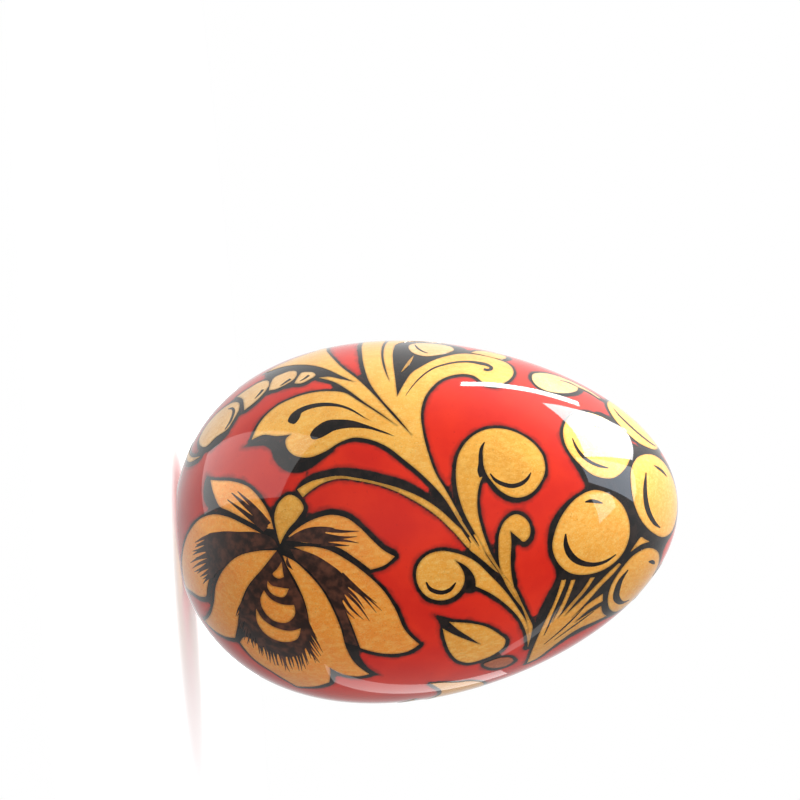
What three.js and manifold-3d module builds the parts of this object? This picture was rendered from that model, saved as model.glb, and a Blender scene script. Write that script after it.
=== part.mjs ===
// A turned wooden egg, painted and lacquered in the style of folk brushwork: a wooden core with
// a flat foot, a red ground coat over it, black shadow areas, and gold motifs as thin films.
// Millimetres, +Z up. The long axis is Z, the foot lies on z = 0 and the pointed end is on top.
import * as THREE from "three";
import { mergeVertices } from "three/addons/utils/BufferGeometryUtils.js";
import Module from "manifold-3d";

const wasm = await Module();
wasm.setup();

// ---- driving dimensions -------------------------------------------------------------------
const EGG_LENGTH = 63;
const EGG_WIDTH = 45.1;
const EGG_SHIFT = 5.3; // how far the widest ring lies below the middle, towards the blunt end
const FOOT_CUT = 0.975; // what the flat foot takes off the blunt end
const FOOT_OPENING = 4.7; // radius of the hole in the ground coat under the foot
const FOOT_RADIUS = 4.4; // radius of the bare wooden foot inside that hole
const SHOULDER_RADIUS = 8.3; // where the even rows of the profile start, above the foot

// heights of each coat over the nominal egg, outer face first
const GOLD = { outer: 0.25, inner: 0.1 };
const BLACK = { outer: 0, inner: -0.1 };
const GROUND = { outer: -0.2, inner: -0.8 };
const CORE_HEIGHT = -1;

const ROUND_SEGMENTS = 32;
const PROFILE_ROWS = 15;
const ELLIPSE_POINTS = 12;
const CHART_RADIUS = 22.5; // one radian round the middle is this much on the painter's chart
const CUTTER_REACH = 60;
const CUTTER_EDGE = 14; // longest edge on a cutter's cap, in chart millimetres
const MIDDLE_Z = EGG_LENGTH / 2 - FOOT_CUT;

const material = (color, roughness, metalness) =>
  new THREE.MeshStandardMaterial({ color, roughness, metalness });
const WOOD = material(0xd8b98c, 0.6, 0);
const RED_LACQUER = material(0xc8201a, 0.12, 0);
const BLACK_PAINT = material(0x231c1a, 0.15, 0);
const GOLD_PAINT = material(0xcb9c48, 0.25, 0.7);

// ---- the egg's profile --------------------------------------------------------------------
// A point of the profile at turn u, from 0 at the pointed end to PI at the blunt end, moved
// outwards by a height. It is [radius, z].
function profilePoint(u, height) {
  const x = (EGG_LENGTH / 2) * Math.cos(u);
  const over = EGG_LENGTH ** 2 - 4 * x * x;
  const under = EGG_LENGTH ** 2 + 8 * EGG_SHIFT * x + 4 * EGG_SHIFT ** 2;
  const quarter = EGG_WIDTH ** 2 / 4;
  const radius = Math.sqrt(Math.max(0, (quarter * over) / under));
  const slope = (quarter * (-8 * x * under - over * 8 * EGG_SHIFT)) / under ** 2;
  const size = Math.hypot(slope, 2 * radius);
  return [radius + (height * 2 * radius) / size, x - (height * slope) / size + MIDDLE_Z];
}

// The turn near the blunt end at which a test of the point changes from true to false.
function turnWhere(isAbove, height) {
  let low = Math.PI / 2;
  let high = Math.PI;
  for (let step = 0; step < 50; step += 1) {
    const middle = (low + high) / 2;
    if (isAbove(profilePoint(middle, height))) low = middle;
    else high = middle;
  }
  return low;
}

const SHOULDER_TURN = turnWhere(([radius]) => radius > SHOULDER_RADIUS, 0);

// The even rows from the shoulder up to the pointed end, the same turns in every coat, so that
// the facets of all the coats are parallel.
function rows(height) {
  const points = [];
  for (let row = 0; row < PROFILE_ROWS; row += 1) {
    points.push(profilePoint(SHOULDER_TURN * (1 - row / PROFILE_ROWS), height));
  }
  points.push([0, profilePoint(0, height)[1]]);
  return points;
}

const footRim = (height) => [profilePoint(turnWhere(([, z]) => z > 0, height), height)[0], 0];
const pointAtRadius = (radius, height) => [
  radius,
  profilePoint(turnWhere(([r]) => r > radius, height), height)[1],
];

// ---- solids -------------------------------------------------------------------------------
function lathe(profile) {
  const points = profile.map(([radius, z]) => new THREE.Vector2(radius, z));
  const geometry = new THREE.LatheGeometry(points, ROUND_SEGMENTS);
  geometry.rotateX(Math.PI / 2);
  return closedSolid(geometry);
}

// Joins a geometry's double points, drops its empty triangles and makes it a solid that faces out.
function closedSolid(geometry) {
  geometry.deleteAttribute("uv");
  geometry.deleteAttribute("normal");
  const merged = mergeVertices(geometry, 1e-4);
  const position = merged.getAttribute("position").array;
  const index = merged.getIndex().array;
  const triangles = [];
  let volume = 0;
  for (let i = 0; i < index.length; i += 3) {
    const [a, b, c] = [index[i], index[i + 1], index[i + 2]];
    if (a === b || b === c || c === a) continue;
    triangles.push(a, b, c);
    const [p, q, r] = [a, b, c].map((v) => new THREE.Vector3().fromArray(position, v * 3));
    volume += p.dot(q.cross(r));
  }
  if (volume < 0) triangles.reverse();
  return solidFrom(position, triangles);
}

const solidFrom = (vertProperties, triangles) =>
  new wasm.Manifold(
    new wasm.Mesh({
      numProp: 3,
      vertProperties: new Float32Array(vertProperties),
      triVerts: new Uint32Array(triangles),
    }),
  );

function geometryOf(solid) {
  const mesh = solid.getMesh();
  const geometry = new THREE.BufferGeometry();
  geometry.setAttribute("position", new THREE.BufferAttribute(mesh.vertProperties, 3));
  geometry.setIndex(new THREE.BufferAttribute(mesh.triVerts, 1));
  return geometry;
}

const coreSolid = () =>
  lathe([[0, 0], [FOOT_RADIUS, 0], pointAtRadius(FOOT_RADIUS, CORE_HEIGHT), ...rows(CORE_HEIGHT)]);

const groundSolid = () =>
  lathe([
    ...rows(GROUND.outer).reverse(),
    footRim(GROUND.outer),
    [FOOT_OPENING, 0],
    pointAtRadius(FOOT_OPENING, GROUND.inner),
    ...rows(GROUND.inner),
  ]);

const coatSolid = ({ outer, inner }) =>
  lathe([...rows(outer).reverse(), footRim(outer), footRim(inner), ...rows(inner)]);

// ---- the painter's chart ------------------------------------------------------------------
// The chart is the egg's front opened out flat round its middle. Its first number runs along the
// egg towards the pointed end and its second across it, towards -X, both in millimetres.
function chartDirection([along, across]) {
  const reach = Math.hypot(along, across);
  const angle = reach / CHART_RADIUS;
  const pull = reach > 0 ? Math.sin(angle) / reach : 0;
  return new THREE.Vector3(-across * pull, -Math.cos(angle), along * pull);
}

// Splits the long edges of a flat triangulation at their middles, both sides of an edge alike.
function refine(points, triangles) {
  let current = triangles;
  let changed = true;
  while (changed) {
    changed = false;
    const middles = new Map();
    const middleOf = (a, b) => {
      const length = Math.hypot(points[a][0] - points[b][0], points[a][1] - points[b][1]);
      if (length <= CUTTER_EDGE) return -1;
      const key = a < b ? `${a},${b}` : `${b},${a}`;
      if (!middles.has(key)) {
        middles.set(key, points.length);
        points.push([(points[a][0] + points[b][0]) / 2, (points[a][1] + points[b][1]) / 2]);
      }
      return middles.get(key);
    };
    const next = [];
    for (const [a, b, c] of current) {
      const cuts = [middleOf(a, b), middleOf(b, c), middleOf(c, a)];
      const first = cuts.findIndex((cut) => cut >= 0);
      if (first < 0) {
        next.push([a, b, c]);
        continue;
      }
      changed = true;
      next.push(...splitTriangle([a, b, c], cuts, first));
    }
    current = next;
  }
  return current;
}

// The two, three or four triangles that take one triangle's place when some edges are split.
function splitTriangle(corners, cuts, first) {
  const turn = (list) => [0, 1, 2].map((i) => list[(i + first) % 3]);
  const [a, b, c] = turn(corners);
  const [ab, bc, ca] = turn(cuts);
  if (bc < 0 && ca < 0) return [[a, ab, c], [ab, b, c]];
  if (bc >= 0 && ca < 0) return [[ab, b, bc], [a, ab, bc], [a, bc, c]];
  if (bc < 0 && ca >= 0) return [[a, ab, ca], [ab, b, c], [ab, c, ca]];
  return [[a, ab, ca], [ab, b, bc], [ca, bc, c], [ab, bc, ca]];
}

// A cone from the egg's middle out through an outline on the chart.
function cutterSolid(outline) {
  const flat = outline.map(([along, across]) => new THREE.Vector2(along, across));
  if (THREE.ShapeUtils.isClockWise(flat)) flat.reverse();
  const points = flat.map(({ x, y }) => [x, y]);
  const cap = THREE.ShapeUtils.triangulateShape(flat, []);
  const capArea = cap.reduce((sum, corners) => sum + triangleArea(corners, points), 0);
  const facing = cap.map((corners) => (capArea > 0 ? corners : [...corners].reverse()));
  const triangles = refine(points, facing).flat();
  const apex = points.length;
  for (let i = 0; i < flat.length; i += 1) {
    triangles.push(apex, (i + 1) % flat.length, i);
  }
  const vertices = [
    ...points.map((point) => chartDirection(point).multiplyScalar(CUTTER_REACH)),
    new THREE.Vector3(),
  ].flatMap(({ x, y, z }) => [x, y, z + MIDDLE_Z]);
  const solid = solidFrom(vertices, triangles);
  return solid.volume() > 0 ? solid : solidFrom(vertices, [...triangles].reverse());
}

const triangleArea = (corners, points) =>
  THREE.ShapeUtils.area(corners.map((i) => new THREE.Vector2(...points[i])));

// ---- motifs, on the chart -----------------------------------------------------------------
const ellipse = (along, across, halfLength, halfHeight) =>
  Array.from({ length: ELLIPSE_POINTS }, (_, i) => {
    const angle = (2 * Math.PI * i) / ELLIPSE_POINTS;
    return [along + halfLength * Math.cos(angle), across + halfHeight * Math.sin(angle)];
  });

const FLOWER = {
  petal_upper_left: [[-23.7, 6.1], [-21, 5.7], [-19, 4.9], [-17.6, 3.3], [-16.6, 0.4],
    [-19.3, 1.4], [-22.3, 3]],
  petal_left: [[-17.9, -0.4], [-20.3, 1.3], [-23.1, 2.2], [-26.4, 1.2], [-29, -1.6],
    [-30.4, -6.2], [-27.4, -7.2], [-25.5, -5.9], [-23, -3.2], [-19.8, -1.6]],
  petal_lower_left: [[-16.8, -2.3], [-19.5, -2.25], [-22.4, -3.75], [-25.2, -7.9],
    [-29, -10.8], [-26.4, -12.3], [-24.1, -12.4], [-21.5, -8.1], [-18.6, -4.6]],
  petal_bottom: [[-15.6, -3.2], [-13.5, -4.95], [-11.5, -9.5], [-10.95, -15.2], [-9.15, -20.2],
    [-12.2, -19.65], [-13.6, -18], [-14.6, -20.9], [-19.6, -21.8], [-22.9, -15.9],
    [-23.5, -13.2], [-20.9, -13.6], [-18, -15.2], [-15.1, -13.8], [-14.3, -9.6], [-14.8, -5.8]],
  petal_right: [[-14.3, -2.1], [-11.2, -2.6], [-7.4, -5.8], [-4.5, -10.8], [-2.1, -16.3],
    [-5.8, -17.15], [-9.35, -15.4], [-10.3, -8.3], [-10.4, -5.6]],
  petal_upper_right: [[-14.7, -0.7], [-12, 0.95], [-10.4, 1.2], [-8.2, 0.2], [-5.1, -3.35],
    [-3.95, -4.15], [-6.8, -5.4], [-10, -2.5], [-12.6, -1.6]],
  calyx: [[-15.9, -1.4], [-16.2, 1.9], [-15.3, 3.5], [-14.1, 3.6], [-13.3, 2.2], [-14.6, 0.3]],
  flower_stem: [[-13.7, 4.3], [-11.2, 5.4], [-7.6, 5.25], [-2.4, 3.6], [2.3, 0.4], [5, -3.6],
    [1.4, 0], [-4.3, 3.9], [-9.4, 5], [-13.2, 3.4]],
  pistil_upper: [[-18.3, -6.6], [-18.9, -8.9], [-16.8, -10.6], [-15.5, -9.3], [-15.6, -8.5],
    [-17.4, -8]],
  pistil_lower: [[-19.6, -8.8], [-20, -10.6], [-17.8, -13.1], [-15.9, -12.7], [-15.4, -11.6],
    [-17.6, -11.4], [-19.1, -10.2]],
};

const BRANCH = {
  branch_curl: [[13.5, -20], [13.6, -16.5], [12, -12.9], [10.2, -10], [8.7, -7.4], [7.3, -3.8],
    [6.4, 0.7], [7.1, 4.3], [7.3, 7.4], [7.9, 5], [9.7, 2.5], [11.3, 1.75], [13.6, 2.4],
    [15.25, 4.7], [15.1, 7.3], [13.1, 9.8], [10.4, 10.95], [7.4, 10.4], [4.9, 8], [4.1, 4.4],
    [5.2, -0.9], [6.8, -4.9], [8.3, -8], [10.6, -11.9], [12.6, -15.6]],
  curl_small: [[10.2, -9.3], [9.3, -7.3], [8.75, -4.2], [9.3, -1.6], [11.2, -0.33],
    [12.7, -1.8], [11.9, -3.8], [10.3, -2.5], [10.2, -6.4], [10.7, -8.7]],
  curl_round: [[12, -15.7], [9.6, -12], [7.5, -10.15], [5.6, -9], [5.2, -7.2], [3.2, -5.5],
    [4.25, -7.6], [2.6, -10.1], [0.4, -10.2], [-1.6, -8], [-1.35, -5.5], [0.5, -4.1],
    [3.4, -4.5], [6, -6.1], [8.4, -9], [10.4, -12.3]],
  leaf_notched: [[1.1, -14.4], [1.6, -17.6], [2.9, -20.3], [4.6, -21.3], [7.4, -20.9],
    [9.6, -19.3], [9.7, -17.7], [7, -15.1], [2, -13.6], [6, -17.8]],
};

const SPRAY = {
  leaf_spray: [[-19.1, 10.45], [-18, 13.6], [-15.2, 16], [-10.9, 17], [-7.4, 15.4],
    [-2.8, 11.8], [-6.6, 15.4], [-9.6, 18.2], [-12.6, 19.5], [-9.2, 19.5], [-12.6, 21.7],
    [-16.5, 23], [-21.2, 22.6], [-17.4, 26.8], [-16.4, 31.6], [-13.2, 26.8], [-9.9, 21.6],
    [-5.2, 16], [-1, 10.5], [-4.4, 15.6], [-6.6, 20], [-8.2, 29], [-8.4, 34], [-5.4, 39.2],
    [-4.85, 30], [-4.6, 23], [-3.5, 18.9], [-4.3, 24], [-4.3, 31], [-3, 35.6], [0.4, 41.5],
    [-2.2, 45.7], [5, 44], [8.8, 42.2], [10.4, 39], [6.6, 34.4], [-0.8, 31.8], [-3, 26.6],
    [-2.5, 16.2], [-0.4, 20.6], [3.2, 23.9], [8.2, 26.4], [13.4, 25.2], [15.2, 22.2],
    [13.3, 18.95], [10.6, 18.1], [9.4, 18.95], [7, 20.5], [3.6, 19.25], [1, 15.8],
    [0.4, 11.5], [1.6, 5.4], [3.4, 1.4], [2.2, 2.6], [0.1, 5.15], [-4.2, 9.1], [-7.8, 10.2],
    [-12.8, 7.9], [-15.15, 9.4], [-14.75, 10.8], [-17.9, 10.95]],
  berry_top: ellipse(3.1, 27.9, 3.8, 3.05),
  feather_low: [[-27.95, 12.2], [-25.7, 10.6], [-22.75, 12.4], [-22, 15.2], [-23.6, 16.85],
    [-26.9, 15.1]],
  feather_middle: [[-21.1, 14.9], [-19.1, 17.9], [-19.7, 20], [-22.2, 19.1], [-23.6, 17.85]],
  feather_high: [[-18.6, 17.8], [-18.8, 20.5], [-16.9, 21.5], [-15.7, 20.4], [-16.7, 18.5]],
};

const BERRIES = {
  berry_1: ellipse(22.55, 8, 4.2, 4.8),
  berry_2: ellipse(20.2, -3.5, 4.7, 5.3),
  berry_3: ellipse(29.5, 0.7, 4.1, 5.4),
  berry_4: ellipse(27.55, -10.9, 3.9, 5),
  berry_5: ellipse(30.9, 11.3, 4.35, 4.5),
  berry_comma: [[17.3, 19.2], [18.4, 21], [21.4, 21.4], [24.4, 19.9], [27.2, 15.8],
    [26.5, 15.9], [24.6, 18.1], [22.8, 16.7], [20, 16.4], [18, 17.2]],
  berry_stalks: [[14.6, -24.6], [14.5, -20], [15.4, -14.8], [16.7, -9.4], [17.4, -9.4],
    [16.6, -14.6], [20.4, -9.5], [21, -9.5], [18.4, -14.2], [23.9, -7.8], [24.2, -8.2],
    [20, -14.2], [22.8, -12], [23, -13], [20.2, -16], [23.1, -14], [25.2, -16.2],
    [21, -17.8], [17.6, -21.5]],
};

const SHADOWS = {
  flower_shadow: [[-24.3, 6.7], [-20.8, 6.3], [-18.3, 5.2], [-16.7, 3.2], [-15.6, 4.2],
    [-13.9, 4.2], [-12.6, 1.7], [-10.4, 1.9], [-7.6, 0.6], [-3.2, -4], [-6.4, -6],
    [-4, -10.6], [-1.4, -16.4], [-2.2, -17.3], [-6, -17.8], [-9.8, -16.4], [-10.3, -17.6],
    [-8.3, -20.6], [-10.4, -21], [-13.4, -19.9], [-14.2, -21.6], [-19.8, -22.5],
    [-23.6, -16.1], [-24.3, -13.2], [-26.4, -13.1], [-29.8, -11], [-25.9, -8], [-30.9, -6.7],
    [-29.7, -1.4], [-27, 1.7], [-23, 2.9]],
  berry_shadow: [[18, 8.4], [18.5, 11], [21, 13], [24.2, 12.9], [26.5, 11.3], [27.5, 7.2],
    [30.5, 6.6], [33.6, 4.6], [34.4, 0], [33.6, -3.4], [31.5, -5.3], [32.1, -10.6],
    [31, -14.2], [28.6, -16.3], [25.6, -16.9], [21.4, -18.6], [17.8, -22.6], [15.2, -25.6],
    [14.1, -24.6], [14, -20], [14.6, -15.5], [16, -9], [14.9, -5.4], [15.3, -1.8],
    [17.6, 0.9], [20.2, 2.6], [20, 4], [18.6, 6.4]],
};

// ---- assembly -----------------------------------------------------------------------------
const egg = new THREE.Group();

function addMesh(name, geometry, meshMaterial) {
  const mesh = new THREE.Mesh(geometry, meshMaterial);
  mesh.name = name;
  egg.add(mesh);
  return mesh;
}

// Cuts each outline from a coat, once for the front and once turned half round for the back.
function addFilms(outlines, coat, meshMaterial) {
  for (const [name, outline] of Object.entries(outlines)) {
    const geometry = geometryOf(coat.intersect(cutterSolid(outline)));
    addMesh(`front_${name}`, geometry, meshMaterial);
    addMesh(`back_${name}`, geometry.clone(), meshMaterial).rotation.z = Math.PI;
  }
}

addMesh("wood_core", geometryOf(coreSolid()), WOOD);
addMesh("red_ground", geometryOf(groundSolid()), RED_LACQUER);
addFilms(SHADOWS, coatSolid(BLACK), BLACK_PAINT);
addFilms({ ...FLOWER, ...BRANCH, ...SPRAY, ...BERRIES }, coatSolid(GOLD), GOLD_PAINT);

export default egg;
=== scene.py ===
"""A lacquered wooden egg with folk brushwork: turned core, red ground, black outlines, gold motifs.

Lengths are millimetres in the tables and metres in Blender. The painter's chart is the front of
the egg opened out flat round its middle: x runs along the egg towards the pointed end, y across
it towards the upper edge. The back carries the same painting, turned half round the long axis.
"""

import math
import random

import bpy
import numpy as np
from mathutils import Matrix, Vector, kdtree, noise
from mathutils.geometry import delaunay_2d_cdt


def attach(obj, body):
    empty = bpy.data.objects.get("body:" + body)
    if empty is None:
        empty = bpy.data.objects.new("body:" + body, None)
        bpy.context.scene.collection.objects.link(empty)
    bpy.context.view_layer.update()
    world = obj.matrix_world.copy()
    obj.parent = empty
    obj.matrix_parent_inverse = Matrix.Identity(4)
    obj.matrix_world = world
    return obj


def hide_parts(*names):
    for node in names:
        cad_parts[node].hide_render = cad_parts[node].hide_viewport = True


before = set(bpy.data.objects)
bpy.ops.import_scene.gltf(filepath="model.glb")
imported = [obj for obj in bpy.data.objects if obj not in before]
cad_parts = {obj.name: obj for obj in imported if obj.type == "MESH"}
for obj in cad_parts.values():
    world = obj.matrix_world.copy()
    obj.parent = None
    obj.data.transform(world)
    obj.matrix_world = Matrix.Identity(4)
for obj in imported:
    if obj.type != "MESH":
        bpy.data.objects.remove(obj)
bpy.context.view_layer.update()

# ---- driving dimensions, the same as in the part -------------------------------------------
MM = 0.001
EGG_LENGTH = 63
EGG_WIDTH = 45.1
EGG_SHIFT = 5.3
FOOT_CUT = 0.975
FOOT_OPENING = 4.7
MIDDLE_Z = EGG_LENGTH / 2 - FOOT_CUT
CHART_RADIUS = 22.5
HALF_TURN = {"front": 1, "back": -1}

# heights over the painted surface: outer face, inner face
GROUND_INNER = -0.8
LOWER_GOLD_FILM = (0.018, -0.03)
GOLD_FILM = (0.03, -0.03)
INK_FILM = (0.045, 0.01)
UPPER_GOLD_FILM = (0.06, 0.03)

GROUND_RINGS = 216
GROUND_SEGMENTS = 420
INNER_STEP = 6  # the hidden inner face has only one ring in so many
FOOT_MARGIN = 0.05  # the outer face's last ring is at least this far above the foot
FOOT_EDGE = 0.3  # the flat foot's outermost ring is this wide
SOLVE_STEPS = 12
OUTLINE_STEP = 0.12
FILM_GRID = 0.7
RIM_WIDTH = 0.26

# the black outline round the gold: its width, how much more it has on the side that it leans to, and
# how much it sways; how far from black paint the red still feels it; and how heavy the strokes on gold are
INK_LINE = 0.44
INK_SHADE = 0.28
INK_SWAY = 0.1
INK_REACH = 1.5
SLIVER_EDGE = 0.03  # a red gap's edges are this near to black
SLIVER_FILL = -0.05  # and its filling this far inside it
MARK_WEIGHT = 1.3

# black paint where it is thick and where it is thin, as everyday 0 to 255 colours
BLACK = ((10, 7, 6), (36, 25, 20))
BROWN_BLACK = ((42, 22, 15), (92, 52, 36))

# ---- camera, floor and light; lengths in millimetres ----------------------------------------
CAMERA_DISTANCE = 400
CAMERA_SENSOR = 36
CAMERA_LENS = 144
CAMERA_ROLL = 4.39  # the pointed end is this much higher than the foot, in degrees
CAMERA_AIM = (3.225, 14.81)  # the egg's middle lies this far right of and below the picture's
LIGHT_DISTANCE = 700
FLOOR_RADIUS = 150
FLOOR_SIDES = 96
FLOOR_GLOW = 0.35
WORLD_FRONT = 0.32
WORLD_BACK = 0.95
WORLD_LOW = 0.4
MIDDLE = Vector((0, 0, MIDDLE_Z * MM))

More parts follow.
